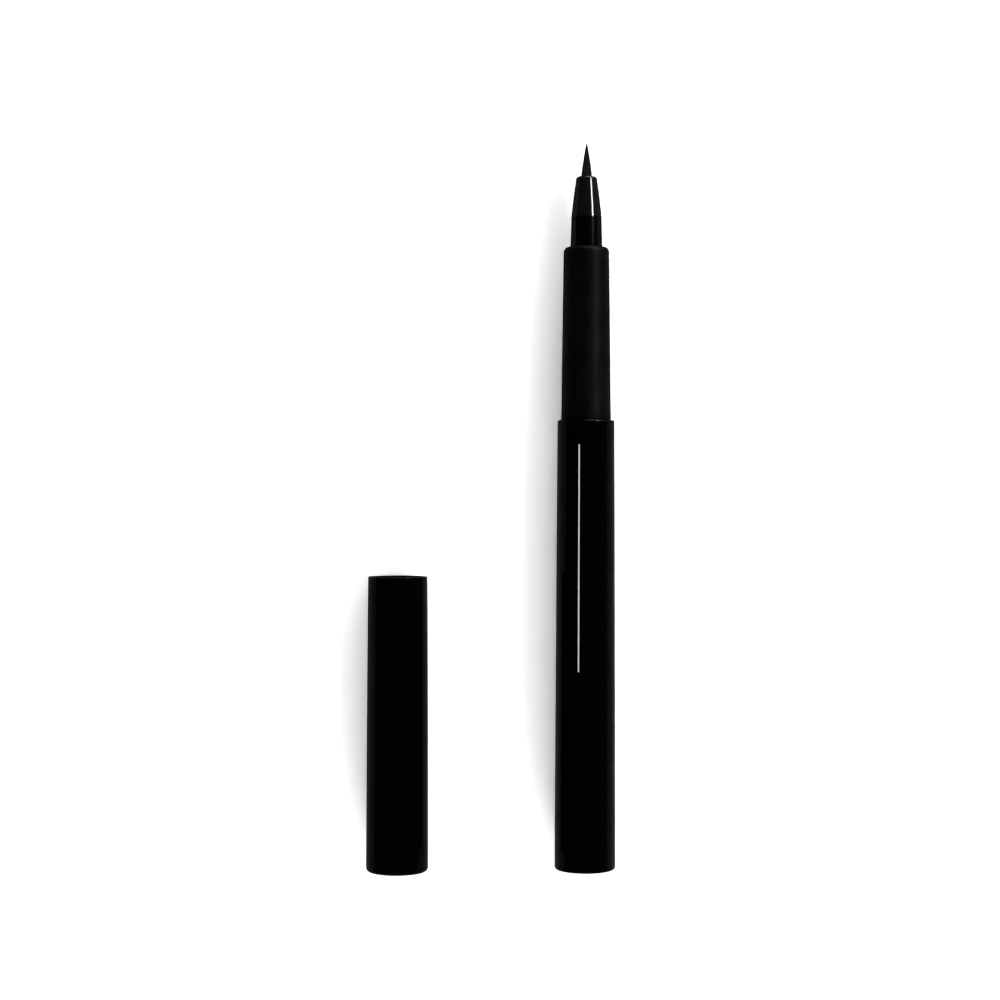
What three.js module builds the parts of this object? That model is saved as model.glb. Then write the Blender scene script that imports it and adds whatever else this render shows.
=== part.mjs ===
// Liquid eyeliner pen with a brush tip. Its cap is off and lies beside it.
// Millimetres, +Z up. The pen lies along Y with its brush towards +Y, and the cap lies on its -X side.
// The origin is at the middle of the lying set, on the surface that it lies on.

import * as THREE from 'three';
import { mergeVertices } from 'three/addons/utils/BufferGeometryUtils.js';

// Gaps between neighbours
const SEAT_GAP = 0.1; // between faces that seat on each other
const ROD_FIT = 0.1; // feed rod in its bores
const HOLDER_FIT = 0.1; // brush holder in the nose
const BRUSH_FIT = 0.08; // brush in the nose's mouth
const NOSE_FIT = 0.1; // nose flange and root in the front section
const COLLECTOR_FIT = 0.1; // collector in the front section
const SPIGOT_FIT = 0.1; // front section in the barrel
const TANK_FIT = 0.1; // ink tank in the barrel
const CAP_FIT = 0.15; // grip in the cap
const SEAL_FIT = 0.08; // nose land in the inner cap
const INNER_CAP_FIT = 0.2; // inner cap's flange in the cap

// Feed rod and brush
const FEED_ROD_RADIUS = 1.0;
const FEED_ROD_DIP = 2.0; // how far the rod reaches into the tank
const BRUSH_LENGTH = 6.1; // in front of the nose
const BRUSH_RADIUS = 1.0;
const BRUSH_BULGE = 0.07; // how far its sides swell past a straight cone
const BRUSH_POINT_RADIUS = 0.05;
const BRUSH_COLLAR_LENGTH = 1.0; // of the fused root behind the nose's step

// Brush holder and nose cone
const HOLDER_WALL = 0.5;
const NOSE_WALL = 1.155; // at the back of the sealing land
const NOSE_ROOT_LENGTH = 6.0; // inside the front section
const NOSE_FLANGE_LENGTH = 1.2;
const NOSE_FLANGE_STEP = 0.45;
const NOSE_LAND_LENGTH = 5.6;
const NOSE_LAND_TAPER = 0.135; // fall of the radius along the land
const NOSE_CONE_LENGTH = 7.05;
const NOSE_MOUTH_WALL = 0.81; // round the brush at the front of the cone
const NOSE_CONE_BULGE = 0.04; // how far its side swells past a straight cone
const NOSE_EDGE_RADIUS = 0.4;
const NOSE_MOUTH_LENGTH = 6.25; // length of the bore that the brush comes out of

// Front section with the grip
const SECTION_WALL = 0.825; // at the spigot
const SPIGOT_LENGTH = 12;
const GRIP_LENGTH = 31.05;
const GRIP_STEP = 0.235; // from the spigot out to the back of the grip
const GRIP_TAPER = 0.375; // fall of the radius along the grip
const GRIP_SHOULDER_RADIUS = 0.85;

// Collector
const COLLECTOR_CORE_WALL = 0.8;
const COLLECTOR_END_LENGTH = 2.5; // plain length at each end
const COLLECTOR_FIN = 1.4;
const COLLECTOR_SLOT = 1.6;

// Barrel and ink tank
const BARREL_LENGTH = 80.6;
const BARREL_WALL = 0.8; // at the rim
const BARREL_FLARE = 0.34; // growth of the radius from the rim to the tail
const BARREL_END_WALL = 1.2;
const BARREL_TAIL_EDGE = 0.5;
const BARREL_RIM_EDGE = 0.22;
const TANK_WALL = 0.6;
const TANK_END_WALL = 0.8;
const GASKET_THICKNESS = 0.8;
const GASKET_LIP = 0.5; // how far the gasket laps over the collector's end

// Ball in the tank
const BALL_RADIUS = 2.25;
const BALL_GAP = 0.2; // to the tank's wall and to the rod's end

// Cap, inner cap and spring
const CAP_WALL = 0.732; // at the mouth
const CAP_FLARE = 0.233; // growth of the radius from the mouth to the closed end
const CAP_END_WALL = 1.3;
const CAP_END_EDGE = 0.72;
const CAP_MOUTH_EDGE = 0.15;
const CAP_RIM_GAP = 0.3; // between the cap's mouth and the barrel's rim when it is on
const CAP_BEAD_GAP = 0.3; // between the grip's shoulder and the bead when it is on
const CAP_BEAD_LENGTH = 0.8;
const CAP_BEAD_HEIGHT = 0.45;
const TIP_ROOM = 0.65; // between the brush's point and the inner cap's end
const INNER_CAP_WALL = 0.6;
const INNER_CAP_END_WALL = 0.5;
const INNER_CAP_EDGE = 0.4;
const INNER_CAP_FLANGE_LENGTH = 0.8;
const INNER_CAP_TRAVEL = 0.9;
const SPRING_WIRE_RADIUS = 0.25;
const SPRING_TURNS = 6;

// How the cap lies beside the pen
const CAP_SPACING = 33.72; // between the two axes
const CAP_SETBACK = 0.48; // how far the cap's closed end lies behind the barrel's tail

// Smoothness
const OUTER_SEGMENTS = 48;
const NOSE_SEGMENTS = 40;
const INNER_SEGMENTS = 24;
const BALL_RINGS = 12;
const CONE_STEPS = 5;
const EDGE_STEPS = 3;
const SPRING_STEPS_PER_TURN = 14;
const SPRING_SIDES = 8;
const MERGE_DISTANCE = 1e-4;

// Radii, from the feed rod outwards
const holderBore = FEED_ROD_RADIUS + ROD_FIT;
const holderRadius = holderBore + HOLDER_WALL;
const noseBore = holderRadius + HOLDER_FIT;
const noseMouthBore = BRUSH_RADIUS + BRUSH_FIT;
const brushCollarRadius = noseBore - HOLDER_FIT;
const landBackRadius = noseBore + NOSE_WALL;
const landFrontRadius = landBackRadius - NOSE_LAND_TAPER;
const noseFrontRadius = noseMouthBore + NOSE_MOUTH_WALL;
const noseFlangeRadius = landBackRadius + NOSE_FLANGE_STEP;
const sectionFrontBore = landBackRadius + NOSE_FIT;
const sectionBore = noseFlangeRadius + NOSE_FIT;
const collectorRadius = sectionBore - COLLECTOR_FIT;
const collectorBore = FEED_ROD_RADIUS + ROD_FIT;
const collectorCore = collectorBore + COLLECTOR_CORE_WALL;
const spigotRadius = sectionBore + SECTION_WALL;
const gripBackRadius = spigotRadius + GRIP_STEP;
const gripFrontRadius = gripBackRadius - GRIP_TAPER;
const barrelBore = spigotRadius + SPIGOT_FIT;
const barrelRimRadius = barrelBore + BARREL_WALL;
const barrelTailRadius = barrelRimRadius + BARREL_FLARE;
const tankRadius = barrelBore - TANK_FIT;
const tankBore = tankRadius - TANK_WALL;
const gasketBore = collectorRadius - GASKET_LIP;
const capBore = gripBackRadius + CAP_FIT;
const capMouthRadius = capBore + CAP_WALL;
const capEndRadius = capMouthRadius + CAP_FLARE;
const capBeadBore = capBore - CAP_BEAD_HEIGHT;
const innerCapBore = landBackRadius + SEAL_FIT;
const innerCapRadius = innerCapBore + INNER_CAP_WALL;
const innerCapFlangeRadius = capBore - INNER_CAP_FIT;
const springRadius = (innerCapRadius + capBore) / 2;

// Places along the pen, from the barrel's tail
const spigotBack = BARREL_LENGTH - SPIGOT_LENGTH;
const gripBack = BARREL_LENGTH + SEAT_GAP;
const gripFront = BARREL_LENGTH + GRIP_LENGTH;
const landFront = gripFront + NOSE_LAND_LENGTH;
const noseFront = landFront + NOSE_CONE_LENGTH;
const penLength = noseFront + BRUSH_LENGTH;
const sectionShoulder = gripFront - NOSE_ROOT_LENGTH;
const noseFlangeFront = sectionShoulder - SEAT_GAP;
const noseBack = noseFlangeFront - NOSE_FLANGE_LENGTH;
const noseStep = noseFront - NOSE_MOUTH_LENGTH;
const brushCollarFront = noseStep - SEAT_GAP;
const brushBack = brushCollarFront - BRUSH_COLLAR_LENGTH;
const holderFront = brushBack - SEAT_GAP;
const gasketFront = spigotBack - SEAT_GAP;
const gasketBack = gasketFront - GASKET_THICKNESS;
const tankFront = gasketBack - SEAT_GAP;
const tankBack = BARREL_END_WALL + SEAT_GAP;
const feedRodBack = gasketBack - FEED_ROD_DIP;
const collectorBack = gasketFront + SEAT_GAP;
const collectorFront = noseBack - SEAT_GAP;
const ballPlace = feedRodBack - BALL_GAP - BALL_RADIUS;

// Places in the cap, from its closed end. The depths count from its mouth, with the cap on the pen.
const capRimPlace = BARREL_LENGTH + CAP_RIM_GAP;
const beadDepth = gripFront + CAP_BEAD_GAP - capRimPlace;
const flangeDepth = beadDepth + CAP_BEAD_LENGTH + SEAT_GAP;
const innerCapInsideDepth = penLength + TIP_ROOM - capRimPlace;
const innerCapEndDepth = innerCapInsideDepth + INNER_CAP_END_WALL;
const capInsideDepth = innerCapEndDepth + INNER_CAP_TRAVEL + SEAT_GAP;
const capLength = capInsideDepth + CAP_END_WALL;
const beadMouthSide = capLength - beadDepth;
const beadEndSide = beadMouthSide - CAP_BEAD_LENGTH;
const flangeMouthSide = capLength - flangeDepth;
const flangeEndSide = flangeMouthSide - INNER_CAP_FLANGE_LENGTH;
const innerCapInside = capLength - innerCapInsideDepth;
const innerCapEnd = capLength - innerCapEndDepth;
const springBack = CAP_END_WALL + SEAT_GAP + SPRING_WIRE_RADIUS;
const springFront = flangeEndSide - SEAT_GAP - SPRING_WIRE_RADIUS;

const axisHeight = Math.max(capEndRadius, barrelTailRadius);

// Points of a rounded edge. The angles are in quarter turns, from straight out towards the front.
function edge(radius, place, size, from, to) {
  const points = [];
  for (let i = 0; i <= EDGE_STEPS; i += 1) {
    const angle = (from + ((to - from) * i) / EDGE_STEPS) * (Math.PI / 2);
    points.push([radius + size * Math.cos(angle), place + size * Math.sin(angle)]);
  }
  return points;
}

// Points along a side that swells past a straight line by the bulge at its middle.
function swell(backRadius, back, frontRadius, front, bulge) {
  const points = [];
  for (let i = 0; i <= CONE_STEPS; i += 1) {
    const share = i / CONE_STEPS;
    const straight = backRadius + (frontRadius - backRadius) * share;
    points.push([straight + 4 * bulge * share * (1 - share), back + (front - back) * share]);
  }
  return points;
}

// A closed geometry with shared vertices and no triangle that has lost its area.
function closed(geometry) {
  geometry.deleteAttribute('normal');
  geometry.deleteAttribute('uv');
  const merged = mergeVertices(geometry, MERGE_DISTANCE);
  const index = merged.getIndex().array;
  const kept = [];
  for (let i = 0; i < index.length; i += 3) {
    const [a, b, c] = [index[i], index[i + 1], index[i + 2]];
    if (a !== b && b !== c && c !== a) {
      kept.push(a, b, c);
    }
  }
  merged.setIndex(kept);
  merged.computeVertexNormals();
  return merged;
}

// A solid turned about the Y axis from [radius, place] points, outside going forwards.
function turned(profile, segments) {
  const points = profile.map(([radius, place]) => new THREE.Vector2(radius, place));
  return closed(new THREE.LatheGeometry(points, segments));
}

// A turned solid with a hole through it: its profile comes back to where it starts.
function turnedRing(profile, segments) {
  return turned([...profile, profile[0]], segments);
}

class Helix extends THREE.Curve {
  constructor(radius, back, front, turns) {
    super();
    this.radius = radius;
    this.back = back;
    this.front = front;
    this.turns = turns;
  }

  getPoint(share, target = new THREE.Vector3()) {
    const angle = share * this.turns * Math.PI * 2;
    const place = this.back + (this.front - this.back) * share;
    return target.set(this.radius * Math.sin(angle), place, this.radius * Math.cos(angle));
  }
}

function springGeometry() {
  const wire = new THREE.Shape();
  wire.absarc(0, 0, SPRING_WIRE_RADIUS, 0, Math.PI * 2, false);
  return closed(
    new THREE.ExtrudeGeometry(wire, {
      steps: SPRING_TURNS * SPRING_STEPS_PER_TURN,
      curveSegments: SPRING_SIDES / 2, // a full circle gets twice as many
      extrudePath: new Helix(springRadius, springBack, springFront, SPRING_TURNS),
    }),
  );
}

function barrelGeometry() {
  const tailEdge = edge(barrelTailRadius - BARREL_TAIL_EDGE, BARREL_TAIL_EDGE, BARREL_TAIL_EDGE, -1, 0);
  const rimPlace = BARREL_LENGTH - BARREL_RIM_EDGE;
  return turned(
    [
      [0, 0],
      ...tailEdge,
      ...edge(barrelRimRadius - BARREL_RIM_EDGE, rimPlace, BARREL_RIM_EDGE, 0, 1),
      [barrelBore, BARREL_LENGTH],
      [barrelBore, BARREL_END_WALL],
      [0, BARREL_END_WALL],
    ],
    OUTER_SEGMENTS,
  );
}

function tankGeometry() {
  return turned(
    [
      [0, tankBack],
      [tankRadius, tankBack],
      [tankRadius, tankFront],
      [tankBore, tankFront],
      [tankBore, tankBack + TANK_END_WALL],
      [0, tankBack + TANK_END_WALL],
    ],
    INNER_SEGMENTS,
  );
}

function gasketGeometry() {
  return turnedRing(
    [
      [gasketBore, gasketBack],
      [tankRadius, gasketBack],
      [tankRadius, gasketFront],
      [gasketBore, gasketFront],
    ],
    INNER_SEGMENTS,
  );
}

function sectionGeometry() {
  const shoulderPlace = gripFront - GRIP_SHOULDER_RADIUS;
  const shoulderRadius = gripFrontRadius - GRIP_SHOULDER_RADIUS;
  return turnedRing(
    [
      [sectionBore, spigotBack],
      [spigotRadius, spigotBack],
      [spigotRadius, gripBack],
      [gripBackRadius, gripBack],
      ...edge(shoulderRadius, shoulderPlace, GRIP_SHOULDER_RADIUS, 0, 1),
      [sectionFrontBore, gripFront],
      [sectionFrontBore, sectionShoulder],
      [sectionBore, sectionShoulder],
    ],
    OUTER_SEGMENTS,
  );
}

function collectorGeometry() {
  const finned = collectorFront - collectorBack - 2 * COLLECTOR_END_LENGTH;
  const slots = Math.floor((finned + COLLECTOR_FIN) / (COLLECTOR_FIN + COLLECTOR_SLOT));
  const slotsLength = slots * (COLLECTOR_FIN + COLLECTOR_SLOT) - COLLECTOR_FIN;
  const firstSlot = (collectorBack + collectorFront - slotsLength) / 2;
  const profile = [
    [collectorBore, collectorBack],
    [collectorRadius, collectorBack],
  ];
  for (let i = 0; i < slots; i += 1) {
    const slotBack = firstSlot + i * (COLLECTOR_FIN + COLLECTOR_SLOT);
    const slotFront = slotBack + COLLECTOR_SLOT;
    profile.push([collectorRadius, slotBack]);
    profile.push([collectorCore, slotBack]);
    profile.push([collectorCore, slotFront]);
    profile.push([collectorRadius, slotFront]);
  }
  profile.push([collectorRadius, collectorFront]);
  profile.push([collectorBore, collectorFront]);
  return turnedRing(profile, INNER_SEGMENTS);
}

function feedRodGeometry() {
  return turned(
    [
      [0, feedRodBack],
      [FEED_ROD_RADIUS, feedRodBack],
      [FEED_ROD_RADIUS, holderFront],
      [0, holderFront],
    ],
    INNER_SEGMENTS,
  );
}

function noseGeometry() {
  const edgePlace = noseFront - NOSE_EDGE_RADIUS;
  return turnedRing(
    [
      [noseBore, noseBack],
      [noseFlangeRadius, noseBack],
      [noseFlangeRadius, noseFlangeFront],
      [landBackRadius, noseFlangeFront],
      [landBackRadius, gripFront],
      ...swell(landFrontRadius, landFront, noseFrontRadius, edgePlace, NOSE_CONE_BULGE),
      ...edge(noseFrontRadius - NOSE_EDGE_RADIUS, edgePlace, NOSE_EDGE_RADIUS, 0, 1).slice(1),
      [noseMouthBore, noseFront],
      [noseMouthBore, noseStep],
      [noseBore, noseStep],
    ],
    NOSE_SEGMENTS,
  );
}

function holderGeometry() {
  return turnedRing(
    [
      [holderBore, noseBack],
      [holderRadius, noseBack],
      [holderRadius, holderFront],
      [holderBore, holderFront],
    ],
    INNER_SEGMENTS,
  );
}

function brushGeometry() {
  return turned(
    [
      [0, brushBack],
      [brushCollarRadius, brushBack],
      [brushCollarRadius, brushCollarFront],
      [BRUSH_RADIUS, brushCollarFront],
      ...swell(BRUSH_RADIUS, noseFront, BRUSH_POINT_RADIUS, penLength, BRUSH_BULGE),
      [0, penLength],
    ],
    INNER_SEGMENTS,
  );
}

function capGeometry() {
  const mouthPlace = capLength - CAP_MOUTH_EDGE;
  return turned(
    [
      [0, 0],
      ...edge(capEndRadius - CAP_END_EDGE, CAP_END_EDGE, CAP_END_EDGE, -1, 0),
      ...edge(capMouthRadius - CAP_MOUTH_EDGE, mouthPlace, CAP_MOUTH_EDGE, 0, 1),
      [capBore, capLength],
      [capBore, beadMouthSide],
      [capBeadBore, beadMouthSide],
      [capBeadBore, beadEndSide],
      [capBore, beadEndSide],
      [capBore, CAP_END_WALL],
      [0, CAP_END_WALL],
    ],
    OUTER_SEGMENTS,
  );
}

function innerCapGeometry() {
  return turned(
    [
      [0, innerCapEnd],
      ...edge(innerCapRadius - INNER_CAP_EDGE, innerCapEnd + INNER_CAP_EDGE, INNER_CAP_EDGE, -1, 0),
      [innerCapRadius, flangeEndSide],
      [innerCapFlangeRadius, flangeEndSide],
      [innerCapFlangeRadius, flangeMouthSide],
      [innerCapBore, flangeMouthSide],
      [innerCapBore, innerCapInside],
      [0, innerCapInside],
    ],
    NOSE_SEGMENTS,
  );
}

function piece(name, geometry, color, roughness, metalness = 0) {
  const mesh = new THREE.Mesh(geometry, new THREE.MeshStandardMaterial({ color, roughness, metalness }));
  mesh.name = name;
  return mesh;
}

const BLACK_GLOSS = 0x0a0a0a;
const BLACK_MATTE = 0x191917;
const SMOKE = 0x14110e;
const NATURAL = 0xd8d8d2;
const FIBRE = 0xc9c4b8;
const HAIR = 0x161412;
const RUBBER = 0x1c1c1c;
const STEEL = 0xb8bcc0;
const WHITE = 0xe6e6e2;

const ballGeometry = closed(new THREE.SphereGeometry(BALL_RADIUS, INNER_SEGMENTS, BALL_RINGS));
const ball = piece('agitator_ball', ballGeometry, STEEL, 0.25, 1);
ball.position.set(0, ballPlace, BALL_RADIUS + BALL_GAP - tankBore);

const pen = new THREE.Group();
pen.add(
  piece('barrel', barrelGeometry(), BLACK_GLOSS, 0.12),
  piece('ink_tank', tankGeometry(), NATURAL, 0.4),
  piece('tank_gasket', gasketGeometry(), RUBBER, 0.8),
  ball,
  piece('front_section', sectionGeometry(), BLACK_MATTE, 0.55),
  piece('collector', collectorGeometry(), WHITE, 0.45),
  piece('feed_rod', feedRodGeometry(), FIBRE, 0.9),
  piece('nose_cone', noseGeometry(), SMOKE, 0.2),
  piece('brush_holder', holderGeometry(), NATURAL, 0.45),
  piece('brush_tip', brushGeometry(), HAIR, 0.7),
);

const cap = new THREE.Group();
cap.add(
  piece('cap_shell', capGeometry(), BLACK_GLOSS, 0.12),
  piece('inner_cap', innerCapGeometry(), NATURAL, 0.45),
  piece('inner_cap_spring', springGeometry(), STEEL, 0.3, 1),
);
cap.position.set(-CAP_SPACING, -CAP_SETBACK, 0);

const eyelinerPen = new THREE.Group();
eyelinerPen.add(pen, cap);
eyelinerPen.position.set(
  (CAP_SPACING + capEndRadius - barrelTailRadius) / 2,
  (CAP_SETBACK - penLength) / 2,
  axisHeight,
);

export default eyelinerPen;
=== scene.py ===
"""Looks of a liquid eyeliner pen with a brush tip that lies beside its cap.

Metres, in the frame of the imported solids: the pen lies along Y with its brush towards +Y, and the cap
lies on the pen's -X side with its open end towards +Y. The pieces' named sizes are in millimetres.
"""

import math
import random

import bmesh
import bpy
from mathutils import Matrix, Vector

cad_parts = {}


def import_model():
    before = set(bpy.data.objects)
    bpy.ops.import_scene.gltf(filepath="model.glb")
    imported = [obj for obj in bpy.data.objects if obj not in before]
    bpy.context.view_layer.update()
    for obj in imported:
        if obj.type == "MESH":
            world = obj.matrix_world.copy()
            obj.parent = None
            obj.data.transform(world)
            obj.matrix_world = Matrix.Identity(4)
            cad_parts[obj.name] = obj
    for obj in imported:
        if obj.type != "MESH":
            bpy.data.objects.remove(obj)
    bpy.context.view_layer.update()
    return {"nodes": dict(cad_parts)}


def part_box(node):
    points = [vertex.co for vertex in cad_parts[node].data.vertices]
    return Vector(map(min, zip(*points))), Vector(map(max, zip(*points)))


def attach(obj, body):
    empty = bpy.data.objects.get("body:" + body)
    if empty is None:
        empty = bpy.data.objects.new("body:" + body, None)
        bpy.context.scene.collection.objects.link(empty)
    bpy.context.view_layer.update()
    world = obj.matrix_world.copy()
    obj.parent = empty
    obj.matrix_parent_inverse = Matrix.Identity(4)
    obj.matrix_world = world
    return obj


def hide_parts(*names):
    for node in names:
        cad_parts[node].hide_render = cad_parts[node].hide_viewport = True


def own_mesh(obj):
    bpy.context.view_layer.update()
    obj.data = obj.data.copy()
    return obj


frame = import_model()

MM = 0.001
FULL_TURN = 2 * math.pi
QUARTER_TURN = math.pi / 2
ALONG = Vector((0, 1, 0))

# How finely the turned pieces are made
OUTER_STEPS = 144
INNER_STEPS = 96
BRUSH_STEPS = 48
ROUND_STEPS = 6
SIDE_STEPS = 10
SHARP_ANGLE = math.radians(32)
WELD = 1e-7

# Sockets of a Mix node for colours, which share their names with its other sockets
MIX_SHARE = 0
MIX_FIRST = 6
MIX_SECOND = 7
MIX_RESULT = 2

# How a finish mixes its noises
NOISE_LOW = 0.3  # a noise is mostly between this
NOISE_HIGH = 0.7  # and this
PATCH_DETAIL = 3.0
GRAIN_DETAIL = 2.0
GRAIN_IN_TONE = 0.4
RUB_SIZE = 0.25  # of rubbed spots, as a share of the patches' size
RUB_IN_ROUGHNESS = 0.7
RUB_IN_COAT = 0.5
FRONT_STEP = 0.2  # millimetres over which the second tone starts


class Value:
    """One output in a node tree. Arithmetic on it adds Math nodes."""

    def __init__(self, nodes, socket):
        self.nodes = nodes
        self.socket = socket

    def maths(self, operation, first, second):
        return self.nodes.add("ShaderNodeMath", {"operation": operation}, {0: first, 1: second})

    def __add__(self, other):
        return self.maths("ADD", self, other)

    def __radd__(self, other):
        return self.maths("ADD", other, self)

    def __mul__(self, other):
        return self.maths("MULTIPLY", self, other)

    def __rmul__(self, other):
        return self.maths("MULTIPLY", other, self)


class Nodes:
    """The nodes of one material or of the world."""

    def __init__(self, owner):
        owner.use_nodes = True
        self.tree = owner.node_tree
        self.tree.nodes.clear()

    def add(self, kind, settings=None, sockets=None, output=0):
        """A node of that kind. Its settings are set first, then its sockets get values or links."""
        node = self.tree.nodes.new(kind)
        for name, setting in (settings or {}).items():
            setattr(node, name, setting)
        for name, value in (sockets or {}).items():
            if isinstance(value, Value):
                self.tree.links.new(value.socket, node.inputs[name])
            else:
                node.inputs[name].default_value = value
        return Value(self, node.outputs[output]) if node.outputs else None

    def noise(self, place, size, detail=PATCH_DETAIL):
        """Noise from 0 to 1 with patches of about that size in millimetres."""
        sockets = {"Vector": place, "Scale": 1 / (size * MM), "Detail": detail}
        return self.add("ShaderNodeTexNoise", None, sockets)

    def spread(self, value, low, high):
        """A noise's middle range stretched from low to high."""
        sockets = {"Value": value, "From Min": NOISE_LOW, "From Max": NOISE_HIGH}
        sockets.update({"To Min": low, "To Max": high})
        return self.add("ShaderNodeMapRange", None, sockets)

    def ramp(self, value, start, end):
        """0 up to the start and 1 from the end on, with a soft step between them."""
        sockets = {"Value": value, "From Min": start, "From Max": end}
        return self.add("ShaderNodeMapRange", {"interpolation_type": "SMOOTHSTEP"}, sockets)

    def blend(self, share, first, second):
        """The first colour turned into the second by the share."""
        sockets = {MIX_SHARE: share, MIX_FIRST: (*first, 1), MIX_SECOND: (*second, 1)}
        return self.add("ShaderNodeMix", {"data_type": "RGBA"}, sockets, output=MIX_RESULT)


def mixed(first, second, second_share):
    """Two noises added up, with the second one's share."""
    return first * (1 - second_share) + second * second_share


def finish(
    name, tones, patch, rough, grain, stretch=(1, 1, 1), coat=None, share=(0, 1), front=None, **shader
):
    """A finish with two tones in patches, a roughness that varies, and a fine grain.

    patch is the patches' size in millimetres, grain is (size, height) in millimetres, stretch scales
    the pattern along X, Y and Z, coat is the gloss coat's two weights, share is the second tone's
    least and most, front is the place along Y from which the second tone starts, and shader holds
    the values that are the same all over.
    """
    material = bpy.data.materials.new(name)
    nodes = Nodes(material)
    here = nodes.add("ShaderNodeTexCoord", output="Object")
    spot = nodes.add("ShaderNodeMapping", None, {"Vector": here, "Scale": stretch})
    patches = nodes.noise(spot, patch)
    rubbed = nodes.noise(spot, patch * RUB_SIZE)
    grain_size, grain_height = grain
    fine = nodes.noise(spot, grain_size, detail=GRAIN_DETAIL)
    tone = nodes.spread(mixed(patches, fine, GRAIN_IN_TONE), *share)
    if front is not None:
        along = nodes.add("ShaderNodeSeparateXYZ", None, {"Vector": here}, output="Y")
        tone = tone * nodes.ramp(along, front, front + FRONT_STEP * MM)
    bump = {"Strength": 1.0, "Distance": grain_height * MM, "Height": fine}
    sockets = {
        "Base Color": nodes.blend(tone, *tones),
        "Roughness": nodes.spread(mixed(patches, rubbed, RUB_IN_ROUGHNESS), *rough),
        "Normal": nodes.add("ShaderNodeBump", None, bump),
    }
    if coat:
        sockets["Coat Weight"] = nodes.spread(mixed(patches, rubbed, RUB_IN_COAT), *coat)
    sockets.update({key.replace("_", " "): value for key, value in shader.items()})
    surface = nodes.add("ShaderNodeBsdfPrincipled", None, sockets)
    nodes.add("ShaderNodeOutputMaterial", None, {"Surface": surface})
    return material


def polished_black(name, coat):
    """Black plastic with a clear polish of that gloss."""
    return finish(
        name,
        tones=((0.0004, 0.0004, 0.0004), (0.0008, 0.0008, 0.0008)),
        patch=9.0,
        rough=(0.3, 0.42),
        grain=(0.6, 0.0008),
        coat=coat,
        Coat_Roughness=0.07,
        Coat_IOR=1.15,
        Specular_IOR_Level=0.0,
    )


BARREL_BLACK = polished_black("barrel_black", coat=(0.17, 0.22))
CAP_BLACK = polished_black("cap_black", coat=(0.125, 0.165))
GRIP_CHARCOAL = finish(
    "grip_charcoal",
    tones=((0.0009, 0.0009, 0.0008), (0.0026, 0.0025, 0.0021)),
    patch=5.0,
    rough=(0.46, 0.58),
    grain=(0.12, 0.006),
    coat=(0.12, 0.19),
    Coat_Roughness=0.42,
    Coat_IOR=1.13,
    Specular_IOR_Level=0.0,
)
BRUSH_HAIR = finish(
    "brush_hair",
    tones=((0.0115, 0.0107, 0.0093), (0.023, 0.0216, 0.0188)),
    patch=0.5,
    rough=(0.38, 0.55),
    grain=(0.06, 0.008),
    stretch=(1, 0.05, 1),
    Specular_IOR_Level=0.0,
)
PRINT_WHITE = finish(
    "print_white",
    tones=((0.57, 0.6, 0.6), (0.66, 0.69, 0.69)),
    patch=1.2,
    rough=(0.4, 0.55),
    grain=(0.08, 0.002),
    Specular_IOR_Level=0.3,
)
NATURAL_PLASTIC = finish(
    "natural_plastic",
    tones=((0.62, 0.62, 0.58), (0.72, 0.72, 0.68)),
    patch=4.0,
    rough=(0.34, 0.48),
    grain=(0.3, 0.002),
)
COMB_PLASTIC = finish(
    "comb_plastic",
    tones=((0.7, 0.7, 0.68), (0.8, 0.8, 0.77)),
    patch=3.0,
    rough=(0.4, 0.52),
    grain=(0.3, 0.002),
)
SOFT_RUBBER = finish(
    "soft_rubber",
    tones=((0.014, 0.014, 0.014), (0.024, 0.024, 0.024)),
    patch=1.5,
    rough=(0.7, 0.86),
    grain=(0.1, 0.006),
)
ROD_FIBRE = finish(
    "rod_fibre",
    tones=((0.44, 0.41, 0.36), (0.6, 0.57, 0.5)),
    patch=0.6,
    rough=(0.8, 0.95),
    grain=(0.08, 0.02),
    stretch=(1, 0.06, 1),
)
BRIGHT_STEEL = finish(
    "bright_steel",
    tones=((0.5, 0.51, 0.53), (0.58, 0.59, 0.61)),
    patch=1.0,
    rough=(0.16, 0.28),
    grain=(0.1, 0.0006),
    Metallic=1.0,
)


def axis_of(node):
    """The point on a turned node's axis at y = 0."""
    low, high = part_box(node)
    return Vector(((low.x + high.x) / 2, 0, (low.z + high.z) / 2))


def radius_of(node):
    """A turned node's largest radius, in millimetres."""
    low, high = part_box(node)
    return (high.x - low.x) / 2 / MM


def reach_of(node, start):
    """Where a node begins and ends along Y, in millimetres from the start."""
    low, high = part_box(node)
    return (low.y - start) / MM, (high.y - start) / MM


PEN_AXIS = axis_of("barrel")
PEN_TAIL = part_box("barrel")[0].y
CAP_AXIS = axis_of("cap_shell")
CAP_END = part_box("cap_shell")[0].y


def place(axis, start, radius, along, around=0.0):
    """A point at a radius and a distance from start, in millimetres, turned from the top towards +X."""
    out = Vector((math.sin(around), 0, math.cos(around))) * radius
    return axis + ALONG * start + (out + ALONG * along) * MM


def swollen(back, front, bulge, share):
    """A corner at a share of the way between two (radius, along) corners, with the bulge at half way."""
    radius = back[0] + (front[0] - back[0]) * share + 4 * bulge * share * (1 - share)
    return radius, back[1] + (front[1] - back[1]) * share


def swell(back, front, bulge=0.0):
    """Corners along a side between two (radius, along) corners, swollen at its middle by the bulge."""
    return [swollen(back, front, bulge, step / SIDE_STEPS) for step in range(SIDE_STEPS + 1)]


def fill_and_face_out(mesh):
    """Closes a mesh's open ends and turns its faces outwards."""
    bmesh.ops.holes_fill(mesh, edges=[edge for edge in mesh.edges if edge.is_boundary])
    bmesh.ops.recalc_face_normals(mesh, faces=mesh.faces[:])


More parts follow.
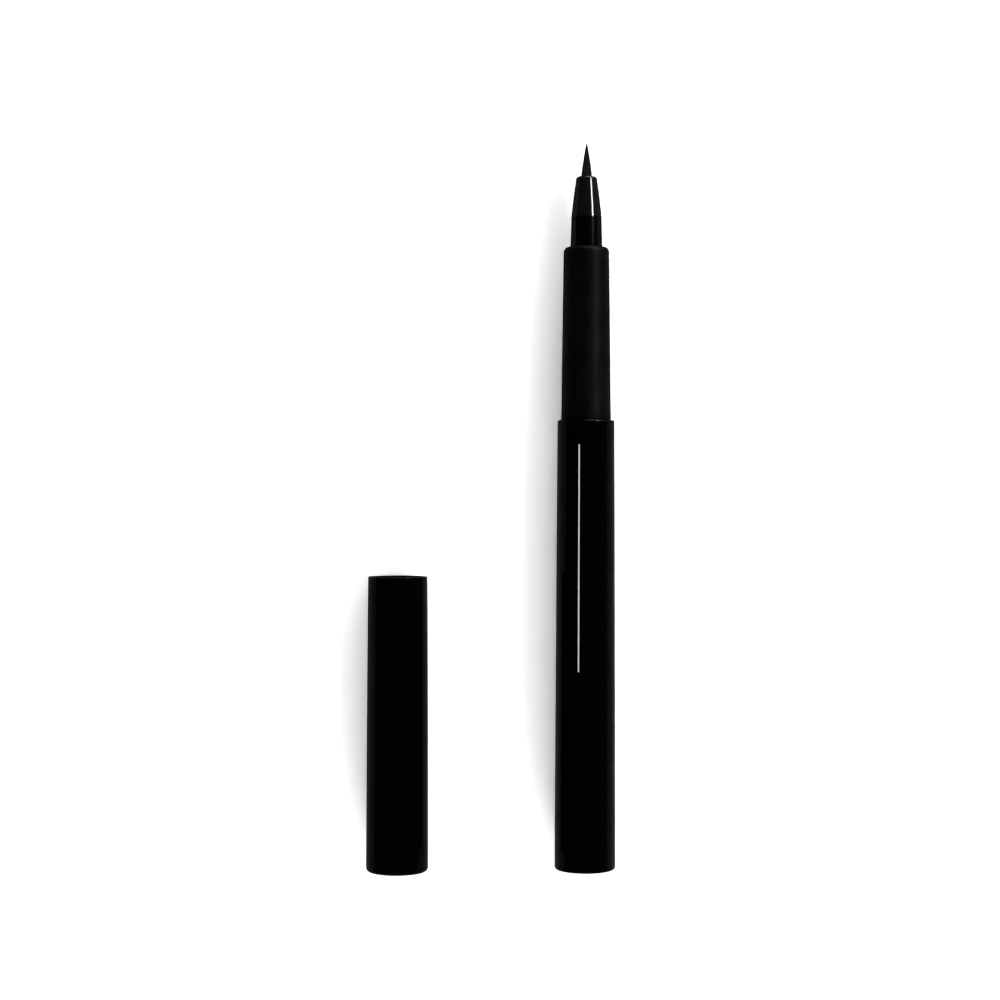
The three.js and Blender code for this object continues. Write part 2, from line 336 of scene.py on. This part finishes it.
def turned(axis, start, profile, steps, closed=False, angle=FULL_TURN, around=0.0):
    """A mesh turned about an axis along Y from (radius, along, rounding) corners in millimetres."""
    mesh = bmesh.new()
    corners = [mesh.verts.new(place(axis, start, *sizes[:2], around)) for sizes in profile]
    ends = corners[1:] + corners[:1] if closed else corners[1:]
    for pair in zip(corners, ends):
        mesh.edges.new(pair)
    for corner, sizes in zip(corners, profile):
        for rounding in sizes[2:]:
            bmesh.ops.bevel(
                mesh, geom=[corner], offset=rounding * MM, offset_type="OFFSET", affect="VERTICES",
                segments=ROUND_STEPS, profile=0.5, material=-1,
            )
    outline = mesh.verts[:] + mesh.edges[:]
    bmesh.ops.spin(
        mesh, geom=outline, cent=axis, axis=ALONG, angle=angle, steps=steps,
        use_merge=angle == FULL_TURN,
    )
    bmesh.ops.remove_doubles(mesh, verts=mesh.verts[:], dist=WELD)
    fill_and_face_out(mesh)
    return mesh


def piece(name, mesh, body, material, slot, *nodes):
    """Makes a mesh a piece that rides on a body and stands for those nodes."""
    data = bpy.data.meshes.new(name)
    mesh.to_mesh(data)
    mesh.free()
    data.shade_smooth()
    data.set_sharp_from_angle(angle=SHARP_ANGLE)
    data.materials.append(material)
    made = bpy.data.objects.new(name, data)
    bpy.context.scene.collection.objects.link(made)
    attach(made, body)
    if nodes:
        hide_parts(*nodes)
    return made


# Barrel, in millimetres from its tail
BARREL_LENGTH = reach_of("barrel", PEN_TAIL)[1]
BARREL_TAIL_RADIUS = radius_of("barrel")
BARREL_RIM_RADIUS = 5.13
BARREL_BORE = 4.33
BARREL_END_WALL = 1.2
BARREL_SWELL = 0.02
BARREL_TAIL_RING = 1.2  # width of the ring round the tail's flat middle
BARREL_TAIL_EDGE = 0.5
BARREL_RIM_EDGE = 0.3
BARREL_MOUTH_EDGE = 0.1
BARREL_MOUTH_RING = 0.6  # width of the ring inside the mouth
BARREL_RIM_MARGIN = 0.5  # between the side's front and the rim
BARREL_SIDE_BACK = 0.9
BARREL_SIDE_FRONT = BARREL_LENGTH - BARREL_RIM_MARGIN
BARREL_SIDE = ((BARREL_TAIL_RADIUS, BARREL_SIDE_BACK), (BARREL_RIM_RADIUS, BARREL_SIDE_FRONT))


def barrel():
    profile = [
        (0, 0),
        (BARREL_TAIL_RADIUS - BARREL_TAIL_RING, 0),
        (BARREL_TAIL_RADIUS, 0, BARREL_TAIL_EDGE),
        *swell(*BARREL_SIDE, BARREL_SWELL),
        (BARREL_RIM_RADIUS, BARREL_LENGTH, BARREL_RIM_EDGE),
        (BARREL_BORE, BARREL_LENGTH, BARREL_MOUTH_EDGE),
        (BARREL_BORE, BARREL_LENGTH - BARREL_MOUTH_RING),
        (BARREL_BORE, BARREL_END_WALL),
        (0, BARREL_END_WALL),
    ]
    mesh = turned(PEN_AXIS, PEN_TAIL, profile, OUTER_STEPS)
    return piece("barrel_body", mesh, "pen", BARREL_BLACK, "barrel_gloss", "barrel")


# Plain printed stripe on the barrel's top
STRIPE_FROM = 35.76
STRIPE_TO = 76.15
STRIPE_WIDTH = 0.23
STRIPE_AROUND = -0.272  # its middle, in radians from the top towards +X
STRIPE_PROUD = 0.012
STRIPE_SUNK = 0.03
STRIPE_STEPS = 6


def stripe():
    def skin(along, lift):
        share = (along - BARREL_SIDE_BACK) / (BARREL_SIDE_FRONT - BARREL_SIDE_BACK)
        return swollen(*BARREL_SIDE, BARREL_SWELL, share)[0] + lift, along

    length = STRIPE_TO - STRIPE_FROM
    alongs = [STRIPE_FROM + length * step / SIDE_STEPS for step in range(SIDE_STEPS + 1)]
    profile = [skin(along, STRIPE_PROUD) for along in alongs]
    profile += [skin(along, -STRIPE_SUNK) for along in reversed(alongs)]
    angle = STRIPE_WIDTH / BARREL_RIM_RADIUS
    mesh = turned(
        PEN_AXIS, PEN_TAIL, profile, STRIPE_STEPS, closed=True, angle=angle,
        around=STRIPE_AROUND - angle / 2,
    )
    return piece("barrel_stripe", mesh, "pen", PRINT_WHITE, "print_white")


# Grip, with the spigot in the barrel, in millimetres from the barrel's tail
SPIGOT_BACK, GRIP_FRONT = reach_of("front_section", PEN_TAIL)
SPIGOT_RADIUS = 4.23
SPIGOT_BORE = 3.405
SPIGOT_EDGE = 0.3
SPIGOT_BORE_EDGE = 0.1
GRIP_GAP = 0.1  # between the barrel's rim and the grip's back
GRIP_BACK = BARREL_LENGTH + GRIP_GAP
GRIP_BACK_RADIUS = radius_of("front_section")
GRIP_BACK_EDGE = 0.06
GRIP_SIDE = ((4.458, 81.3), (4.103, 110.6))  # (radius, along) at its back and its front
GRIP_FRONT_RADIUS = 4.09
GRIP_SHOULDER = 0.85
GRIP_FRONT_BORE = 2.955
GRIP_FRONT_BORE_EDGE = 0.05
GRIP_FRONT_BORE_LENGTH = 6.0


def grip():
    step = GRIP_FRONT - GRIP_FRONT_BORE_LENGTH
    profile = [
        (SPIGOT_BORE, SPIGOT_BACK, SPIGOT_BORE_EDGE),
        (SPIGOT_RADIUS, SPIGOT_BACK, SPIGOT_EDGE),
        (SPIGOT_RADIUS, GRIP_BACK),
        (GRIP_BACK_RADIUS, GRIP_BACK, GRIP_BACK_EDGE),
        *swell(*GRIP_SIDE),
        (GRIP_FRONT_RADIUS, GRIP_FRONT, GRIP_SHOULDER),
        (GRIP_FRONT_BORE, GRIP_FRONT, GRIP_FRONT_BORE_EDGE),
        (GRIP_FRONT_BORE, step),
        (SPIGOT_BORE, step),
    ]
    mesh = turned(PEN_AXIS, PEN_TAIL, profile, OUTER_STEPS, closed=True)
    return piece("grip_section", mesh, "pen", GRIP_CHARCOAL, "grip_matte", "front_section")


# Nose, in millimetres from the barrel's tail
NOSE_BACK, NOSE_FRONT = reach_of("nose_cone", PEN_TAIL)
NOSE_BORE = 1.7
NOSE_FLANGE_RADIUS = radius_of("nose_cone")
NOSE_FLANGE_LENGTH = 1.2
NOSE_FLANGE_EDGE = 0.15
NOSE_ROOT_RADIUS = 2.855
NOSE_LAND = ((NOSE_ROOT_RADIUS, GRIP_FRONT), (2.732, 116.75))
NOSE_CREASE = 116.95  # between its black land and its smoke cone
NOSE_CREASE_RADIUS = 2.727
NOSE_CREASE_EDGE = 0.06
NOSE_CONE = ((2.708, 117.1), (1.93, 123.5))
NOSE_CONE_BULGE = 0.04
NOSE_FRONT_RADIUS = 1.86
NOSE_FRONT_EDGE = 0.4
NOSE_MOUTH = 1.08
NOSE_MOUTH_EDGE = 0.06
NOSE_MOUTH_LENGTH = 6.25
NOSE_SMOKE = finish(
    "nose_smoke",
    tones=((0.0012, 0.0012, 0.0011), (0.0064, 0.0055, 0.0045)),
    patch=2.5,
    rough=(0.1, 0.16),
    grain=(0.4, 0.0006),
    coat=(0.0137, 0.0163),
    share=(0.75, 1),
    front=PEN_TAIL + NOSE_CREASE * MM,
    Coat_Roughness=0.12,
    Coat_IOR=3.0,
    Specular_IOR_Level=0.0,
)


def nose():
    flange_front = NOSE_BACK + NOSE_FLANGE_LENGTH
    step = NOSE_FRONT - NOSE_MOUTH_LENGTH
    profile = [
        (NOSE_BORE, NOSE_BACK),
        (NOSE_FLANGE_RADIUS, NOSE_BACK, NOSE_FLANGE_EDGE),
        (NOSE_FLANGE_RADIUS, flange_front),
        (NOSE_ROOT_RADIUS, flange_front),
        *swell(*NOSE_LAND),
        (NOSE_CREASE_RADIUS, NOSE_CREASE, NOSE_CREASE_EDGE),
        *swell(*NOSE_CONE, NOSE_CONE_BULGE),
        (NOSE_FRONT_RADIUS, NOSE_FRONT, NOSE_FRONT_EDGE),
        (NOSE_MOUTH, NOSE_FRONT, NOSE_MOUTH_EDGE),
        (NOSE_MOUTH, step),
        (NOSE_BORE, step),
    ]
    mesh = turned(PEN_AXIS, PEN_TAIL, profile, INNER_STEPS, closed=True)
    return piece("nose_piece", mesh, "pen", NOSE_SMOKE, "nose_smoke", "nose_cone")


# Brush: a core on a collar, and the outer hairs that lie on it, in millimetres from the barrel's tail
BRUSH_BACK, BRUSH_POINT = reach_of("brush_tip", PEN_TAIL)
COLLAR_RADIUS = radius_of("brush_tip")
COLLAR_LENGTH = 1.0
COLLAR_EDGE = 0.1
BRUSH_RADIUS = 1.0
BRUSH_POINT_RADIUS = 0.05
BRUSH_SIDE = ((BRUSH_RADIUS, NOSE_FRONT), (BRUSH_POINT_RADIUS, BRUSH_POINT))
BRUSH_BULGE = 0.07
CORE_LEAST = 0.02  # the core's radius at the point
HAIR_COUNT = 48
HAIR_SEED = 11
HAIR_SHIFT = 0.3  # how far a hair may lie from its even place, as a share of the spacing
HAIR_SHORTER = 0.1  # the share of the brush's length by which a hair may fall short
HAIR_RADIUS = 0.065
HAIR_TIP_RADIUS = 0.012
HAIR_LEAST = 0.01  # a hair's least distance from the axis
HAIR_SIDES = 5
HAIR_STEPS = 9
HAIR_TUCK = 0.5  # how far the hairs start inside the nose


def hair(mesh, points, radii):
    """One tapered hair along the points."""
    upright = Matrix.Rotation(QUARTER_TURN, 4, "X")
    ring = bmesh.ops.create_circle(
        mesh, cap_ends=True, segments=HAIR_SIDES, radius=radii[0],
        matrix=Matrix.Translation(points[0]) @ upright,
    )["verts"]
    for step in range(1, len(points)):
        faces = {face for vert in ring for face in vert.link_faces}
        end = [face for face in faces if all(vert in ring for vert in face.verts)]
        made = bmesh.ops.extrude_discrete_faces(mesh, faces=end)["faces"]
        ring = list(made[0].verts)
        bmesh.ops.translate(mesh, verts=ring, vec=points[step] - points[step - 1])
        size = radii[step] / radii[step - 1]
        space = Matrix.Translation(-points[step])
        bmesh.ops.scale(mesh, verts=ring, vec=(size, size, size), space=space)


def brush():
    skin = swell(*BRUSH_SIDE, BRUSH_BULGE)
    core = [(max(radius - HAIR_RADIUS, CORE_LEAST), along) for radius, along in skin]
    collar_front = BRUSH_BACK + COLLAR_LENGTH
    profile = [
        (0, BRUSH_BACK),
        (COLLAR_RADIUS, BRUSH_BACK, COLLAR_EDGE),
        (COLLAR_RADIUS, collar_front, COLLAR_EDGE),
        (core[0][0], collar_front),
        *core,
        (0, BRUSH_POINT),
    ]
    mesh = turned(PEN_AXIS, PEN_TAIL, profile, BRUSH_STEPS)
    draw = random.Random(HAIR_SEED)
    for index in range(HAIR_COUNT):
        around = FULL_TURN * (index + draw.uniform(-HAIR_SHIFT, HAIR_SHIFT)) / HAIR_COUNT
        end = 1 - draw.uniform(0.0, HAIR_SHORTER)
        points, radii = [], []
        for step in range(HAIR_STEPS + 1):
            share = end * step / HAIR_STEPS
            radius = HAIR_RADIUS + (HAIR_TIP_RADIUS - HAIR_RADIUS) * share
            outside, along = swollen(*BRUSH_SIDE, BRUSH_BULGE, share)
            tuck = HAIR_TUCK if step == 0 else 0.0
            middle = max(outside - radius, HAIR_LEAST)
            points.append(place(PEN_AXIS, PEN_TAIL, middle, along - tuck, around))
            radii.append(radius * MM)
        hair(mesh, points, radii)
    fill_and_face_out(mesh)
    return piece("brush_hairs", mesh, "pen", BRUSH_HAIR, "brush_hair", "brush_tip")


# Cap, in millimetres from its closed end
CAP_LENGTH = reach_of("cap_shell", CAP_END)[1]
CAP_END_RADIUS = radius_of("cap_shell")
CAP_END_FLAT = 4.3  # radius of the closed end's flat middle
CAP_END_EDGE = 0.72
CAP_END_WALL = 1.3
CAP_SIDE = ((CAP_END_RADIUS, 1.2), (5.35, 52.5))
CAP_SWELL = 0.035
CAP_MOUTH_RADIUS = 5.347
CAP_MOUTH_EDGE = 0.1
CAP_BORE = 4.615
CAP_BORE_MOUTH_EDGE = 0.12
CAP_BORE_END_EDGE = 0.4
CAP_MOUTH_RING = 0.65  # width of the ring inside the mouth
BEAD_BORE = 4.165
BEAD_FRONT = 21.9
BEAD_BACK = 21.1
BEAD_EDGE = 0.15
BEAD_RING = 0.4  # width of the ring in front of the bead


def cap():
    profile = [
        (0, 0),
        (CAP_END_FLAT, 0),
        (CAP_END_RADIUS, 0, CAP_END_EDGE),
        *swell(*CAP_SIDE, CAP_SWELL),
        (CAP_MOUTH_RADIUS, CAP_LENGTH, CAP_MOUTH_EDGE),
        (CAP_BORE, CAP_LENGTH, CAP_BORE_MOUTH_EDGE),
        (CAP_BORE, CAP_LENGTH - CAP_MOUTH_RING),
        (CAP_BORE, BEAD_FRONT + BEAD_RING),
        (CAP_BORE, BEAD_FRONT),
        (BEAD_BORE, BEAD_FRONT, BEAD_EDGE),
        (BEAD_BORE, BEAD_BACK, BEAD_EDGE),
        (CAP_BORE, BEAD_BACK),
        (CAP_BORE, CAP_END_WALL, CAP_BORE_END_EDGE),
        (0, CAP_END_WALL),
    ]
    mesh = turned(CAP_AXIS, CAP_END, profile, OUTER_STEPS)
    return piece("cap_body", mesh, "cap", CAP_BLACK, "cap_gloss", "cap_shell")


# Inner cap, in millimetres from the cap's closed end
CUP_BACK, CUP_FRONT = reach_of("inner_cap", CAP_END)
CUP_RADIUS = 3.535
CUP_BORE = 2.935
CUP_END_WALL = 0.5
CUP_END_EDGE = 0.4
CUP_BORE_END_EDGE = 0.3
CUP_LIP_EDGE = 0.25
CUP_FLANGE_RADIUS = radius_of("inner_cap")
CUP_FLANGE_LENGTH = 0.8
CUP_FLANGE_EDGE = 0.1


def inner_cap():
    flange_back = CUP_FRONT - CUP_FLANGE_LENGTH
    inside_end = CUP_BACK + CUP_END_WALL
    profile = [
        (0, CUP_BACK),
        (CUP_RADIUS, CUP_BACK, CUP_END_EDGE),
        (CUP_RADIUS, flange_back),
        (CUP_FLANGE_RADIUS, flange_back, CUP_FLANGE_EDGE),
        (CUP_FLANGE_RADIUS, CUP_FRONT, CUP_FLANGE_EDGE),
        (CUP_BORE, CUP_FRONT, CUP_LIP_EDGE),
        (CUP_BORE, inside_end, CUP_BORE_END_EDGE),
        (0, inside_end),
    ]
    mesh = turned(CAP_AXIS, CAP_END, profile, INNER_STEPS)
    return piece(
        "inner_cap_cup", mesh, "inner_cap", NATURAL_PLASTIC, "inner_cap_plastic", "inner_cap"
    )


# Spring, in millimetres from the cap's closed end
SPRING_RADIUS = 4.075
SPRING_WIRE = 0.25
SPRING_BACK = 1.65
SPRING_FRONT = 19.85
SPRING_TURNS = 6
SPRING_STEPS = 36  # in each turn
SPRING_SIDES = 12


def spring():
    mesh = bmesh.new()
    wire = Matrix.Translation(place(CAP_AXIS, CAP_END, SPRING_RADIUS, SPRING_BACK))
    wire = wire @ Matrix.Rotation(QUARTER_TURN, 4, "Y")
    bmesh.ops.create_circle(mesh, segments=SPRING_SIDES, radius=SPRING_WIRE * MM, matrix=wire)
    steps = SPRING_TURNS * SPRING_STEPS
    rise = ALONG * ((SPRING_FRONT - SPRING_BACK) / steps * MM)
    bmesh.ops.spin(
        mesh, geom=mesh.verts[:] + mesh.edges[:], cent=CAP_AXIS, axis=ALONG, dvec=rise,
        angle=FULL_TURN * SPRING_TURNS, steps=steps,
    )
    fill_and_face_out(mesh)
    made = piece("cap_spring", mesh, "cap", BRIGHT_STEEL, "spring_steel", "inner_cap_spring")
    seat = place(CAP_AXIS, CAP_END, 0, SPRING_BACK - SPRING_WIRE)
    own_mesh(made)
    return made


barrel()
stripe()
grip()
nose()
brush()
cap()
inner_cap()
spring()

INNER_FINISHES = {
    "ink_tank": NATURAL_PLASTIC,
    "tank_gasket": SOFT_RUBBER,
    "agitator_ball": BRIGHT_STEEL,
    "collector": COMB_PLASTIC,
    "feed_rod": ROD_FIBRE,
    "brush_holder": NATURAL_PLASTIC,
}
for node, material in INNER_FINISHES.items():
    materials = frame["nodes"][node].data.materials
    materials.clear()
    materials.append(material)


# Floor, in metres
FLOOR_HALF_SIDE = 20.0
FLOOR_DROP = 0.00002
FLOOR_GREY = (0.85, 0.85, 0.85, 1)  # for the light that it gives back to the object
FLOOR_WHITE = (1.8, 1.8, 1.8, 1)  # as it is seen
FLOOR_SEEN_RAYS = ("Is Camera Ray", "Is Glossy Ray", "Is Transmission Ray")

# Lamps that only light, as (lean, strength) in degrees and Blender's units
SIDE_LAMPS = ((-76, 3.4), (0, 0.98), (45, 0.55))
SIDE_LAMP_HEIGHT = 40
SIDE_LAMP_WIDTH = 26

# Lamps that only show in gloss
END_GLEAM = {"height": 25, "lean": 64, "strength": 26, "width": 48}
LOW_GLEAM = {"height": 12, "lean": 34, "strength": 3, "width": 24}
EDGE_GLEAM = {"height": 42, "strength": 4.6, "width": 8.5}
EDGE_GLEAM_LEANS = (18, 22, 26)

# World: the strength of its two ends and of its horizon, and the horizon's heights
WORLD_ENDS = 9.76
WORLD_HORIZON = 0.3
HORIZON_TOP = 0.25  # the Z of a direction at which its light starts
HORIZON_FULL = 0.05  # the Z below which it is full

# Camera, straight above, in metres, millimetres of lens and sensor, and degrees
CAMERA_PLACE = (0.00151, 0.00127, 0.37458)
CAMERA_ROLL = 0.15
CAMERA_LENS = 73.95
CAMERA_SENSOR = 36.0
CAMERA_NEAR = 0.01
CAMERA_FAR = 100.0


def floor():
    mesh = bmesh.new()
    bmesh.ops.create_grid(mesh, x_segments=1, y_segments=1, size=FLOOR_HALF_SIDE)
    bmesh.ops.translate(mesh, verts=mesh.verts[:], vec=(0, 0, -FLOOR_DROP))
    data = bpy.data.meshes.new("floor")
    mesh.to_mesh(data)
    mesh.free()
    material = bpy.data.materials.new("floor_white")
    nodes = Nodes(material)
    straight, mirrored, through = (nodes.add("ShaderNodeLightPath", output=ray) for ray in FLOOR_SEEN_RAYS)
    lit = nodes.add("ShaderNodeBsdfDiffuse", None, {"Color": FLOOR_GREY})
    seen = nodes.add("ShaderNodeBsdfDiffuse", None, {"Color": FLOOR_WHITE})
    sockets = {"Fac": straight + mirrored + through, 1: lit, 2: seen}
    either = nodes.add("ShaderNodeMixShader", None, sockets)
    nodes.add("ShaderNodeOutputMaterial", None, {"Surface": either})
    data.materials.append(material)
    made = bpy.data.objects.new("floor", data)
    bpy.context.scene.collection.objects.link(made)


def lamp(name, height, lean, strength, width, gleam):
    """A far soft lamp on the +X side. height is its angle about Y above the floor, lean its angle to +Y.

    A gleam lamp shows only in gloss, and any other lamp only lights.
    """
    data = bpy.data.lights.new(name, "SUN")
    data.energy = strength
    data.angle = math.radians(width)
    made = bpy.data.objects.new(name, data)
    bpy.context.scene.collection.objects.link(made)
    height, lean = math.radians(height), math.radians(lean)
    towards = Vector((math.cos(height), 0, math.sin(height))) * math.cos(lean)
    towards += ALONG * math.sin(lean)
    made.rotation_euler = towards.to_track_quat("Z", "Y").to_euler()
    made.visible_glossy = gleam
    made.visible_diffuse = not gleam


def lamps():
    for step, (lean, strength) in enumerate(SIDE_LAMPS):
        lamp(f"lamp_{step}", SIDE_LAMP_HEIGHT, lean, strength, SIDE_LAMP_WIDTH, gleam=False)
    lamp("gleam_end", **END_GLEAM, gleam=True)
    lamp("gleam_side", **LOW_GLEAM, gleam=True)
    for step, lean in enumerate(EDGE_GLEAM_LEANS):
        lamp(f"gleam_{step}", lean=lean, **EDGE_GLEAM, gleam=True)


def world():
    """Soft light from the two ends of the pen, with a bright horizon and a dark overhead."""
    made = bpy.data.worlds.new("studio")
    bpy.context.scene.world = made
    nodes = Nodes(made)
    towards = nodes.add("ShaderNodeTexCoord", output="Generated")
    along = nodes.add("ShaderNodeSeparateXYZ", None, {"Vector": towards}, output="Y")
    up = nodes.add("ShaderNodeSeparateXYZ", None, {"Vector": towards}, output="Z")
    square = along * along
    fourth = square * square
    low = nodes.ramp(up, HORIZON_TOP, HORIZON_FULL) * WORLD_HORIZON
    light = {"Color": (1, 1, 1, 1), "Strength": fourth * fourth * WORLD_ENDS + low}
    nodes.add("ShaderNodeOutputWorld", None, {"Surface": nodes.add("ShaderNodeBackground", None, light)})


def camera():
    data = bpy.data.cameras.new("camera")
    data.sensor_width = CAMERA_SENSOR
    data.lens = CAMERA_LENS
    data.clip_start = CAMERA_NEAR
    data.clip_end = CAMERA_FAR
    made = bpy.data.objects.new("camera", data)
    made.location = CAMERA_PLACE
    made.rotation_euler = (0, 0, math.radians(CAMERA_ROLL))
    bpy.context.scene.collection.objects.link(made)
    bpy.context.scene.camera = made


floor()
lamps()
world()
camera()
bpy.context.scene.view_settings.view_transform = "Standard"
